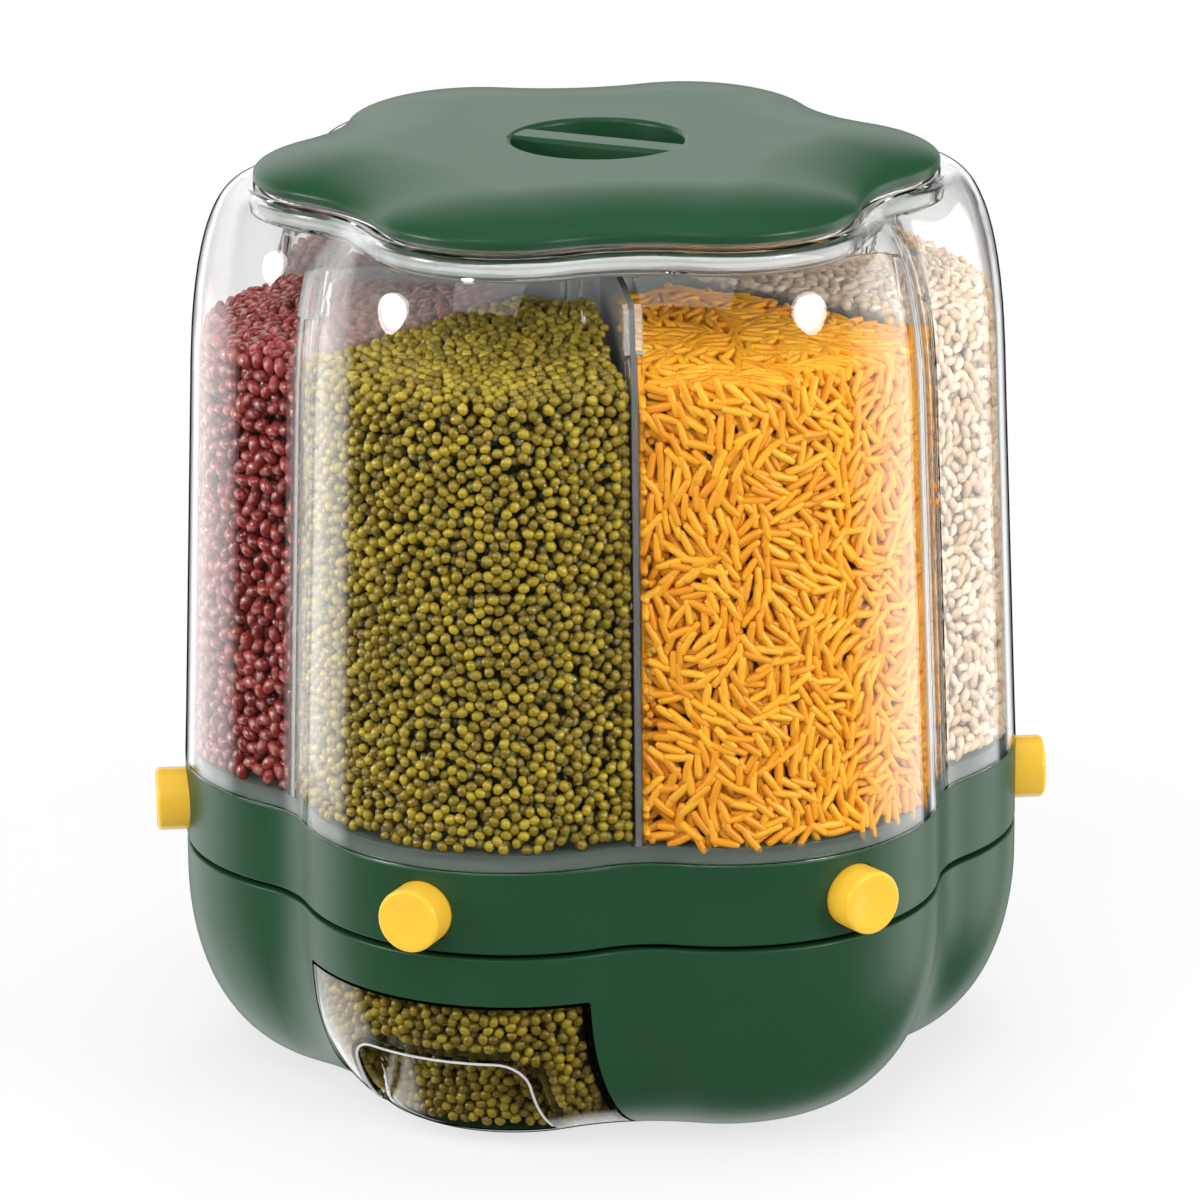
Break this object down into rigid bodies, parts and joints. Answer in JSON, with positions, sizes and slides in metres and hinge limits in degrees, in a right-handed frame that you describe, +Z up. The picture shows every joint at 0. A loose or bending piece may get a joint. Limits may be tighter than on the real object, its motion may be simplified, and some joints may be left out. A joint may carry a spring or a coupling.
{
  "type": "rotating food storage container",
  "caption": "Flower-shaped clear container for dry food on a turntable base, with spring gates worked by push buttons, a pull-out receiving drawer and a lift-off lid.",
  "frame": {"origin": "on the table under the turning axis", "axes": "+Z up along the turning axis, -Y towards the drawer front, X across the drawer"},
  "size_m": [0.2692, 0.3, 0.3127],
  "materials": {
    "green_plastic": "satin dark green",
    "clear_plastic": "polished clear",
    "yellow_plastic": "smooth warm yellow",
    "white_plastic": "natural white",
    "grey_plastic": "satin grey",
    "steel": "plain steel",
    "rubber": "matt black",
    "silicone": "translucent grey"
  },
  "bodies": {
    "base": {"base_shell": "green_plastic", "rubber_feet": "rubber", "base_deck": "green_plastic", "deck_screws": "steel", "centre_spindle": "steel", "spindle_nut": "steel", "retaining_washer": "steel", "retaining_screw": "steel"},
    "ball_ring": {"ball_cage": "white_plastic", "bearing_balls": "steel"},
    "drawer": {"receiving_drawer": "clear_plastic"},
    "turntable": {"turntable_tray": "green_plastic", "centre_bush": "white_plastic", "funnel_plate": "clear_plastic", "funnel_screws": "steel", "hopper_shell": "clear_plastic", "hub_column": "clear_plastic", "hub_cap": "clear_plastic", "partition_1": "clear_plastic", "partition_2": "clear_plastic", "partition_3": "clear_plastic", "partition_4": "clear_plastic", "partition_5": "clear_plastic", "partition_6": "clear_plastic"},
    "lid": {"lid_cover": "green_plastic", "lid_liner": "grey_plastic", "lid_seal": "silicone"},
    "button_1": {"push_button_1": "yellow_plastic", "gate_slide_1": "white_plastic", "return_spring_1": "steel"},
    "button_2": {"push_button_2": "yellow_plastic", "gate_slide_2": "white_plastic", "return_spring_2": "steel"},
    "button_3": {"push_button_3": "yellow_plastic", "gate_slide_3": "white_plastic", "return_spring_3": "steel"},
    "button_4": {"push_button_4": "yellow_plastic", "gate_slide_4": "white_plastic", "return_spring_4": "steel"},
    "button_5": {"push_button_5": "yellow_plastic", "gate_slide_5": "white_plastic", "return_spring_5": "steel"},
    "button_6": {"push_button_6": "yellow_plastic", "gate_slide_6": "white_plastic", "return_spring_6": "steel"}
  },
  "joints": [
    {"name": "turntable_spin", "type": "hinge", "parent": "base", "child": "turntable", "pos_m": [0, 0, 0.07], "axis": [0, 0, 1], "continuous": true},
    {"name": "ball_ring_spin", "type": "hinge", "parent": "base", "child": "ball_ring", "pos_m": [0, 0, 0.07], "axis": [0, 0, 1], "continuous": true},
    {"name": "drawer_pull", "type": "slide", "parent": "base", "child": "drawer", "axis": [0, -1, 0], "range_m": [0, 0.1]},
    {"name": "lid_lift", "type": "slide", "parent": "turntable", "child": "lid", "axis": [0, 0, 1], "range_m": [0, 0.08]},
    {"name": "button_1_press", "type": "slide", "parent": "turntable", "child": "button_1", "axis": [0, 1, 0], "range_m": [0, 0.0095], "stiffness_N_per_m": 400, "springref_m": -0.005, "deforming": ["return_spring_1"]},
    {"name": "button_2_press", "type": "slide", "parent": "turntable", "child": "button_2", "axis": [-0.866, 0.5, 0], "range_m": [0, 0.0095], "stiffness_N_per_m": 400, "springref_m": -0.005, "deforming": ["return_spring_2"]},
    {"name": "button_3_press", "type": "slide", "parent": "turntable", "child": "button_3", "axis": [-0.866, -0.5, 0], "range_m": [0, 0.0095], "stiffness_N_per_m": 400, "springref_m": -0.005, "deforming": ["return_spring_3"]},
    {"name": "button_4_press", "type": "slide", "parent": "turntable", "child": "button_4", "axis": [0, -1, 0], "range_m": [0, 0.0095], "stiffness_N_per_m": 400, "springref_m": -0.005, "deforming": ["return_spring_4"]},
    {"name": "button_5_press", "type": "slide", "parent": "turntable", "child": "button_5", "axis": [0.866, -0.5, 0], "range_m": [0, 0.0095], "stiffness_N_per_m": 400, "springref_m": -0.005, "deforming": ["return_spring_5"]},
    {"name": "button_6_press", "type": "slide", "parent": "turntable", "child": "button_6", "axis": [0.866, 0.5, 0], "range_m": [0, 0.0095], "stiffness_N_per_m": 400, "springref_m": -0.005, "deforming": ["return_spring_6"]}
  ],
  "couplings": [
    {"joint": "ball_ring_spin", "follows": "turntable_spin", "ratio": 0.5}
  ]
}
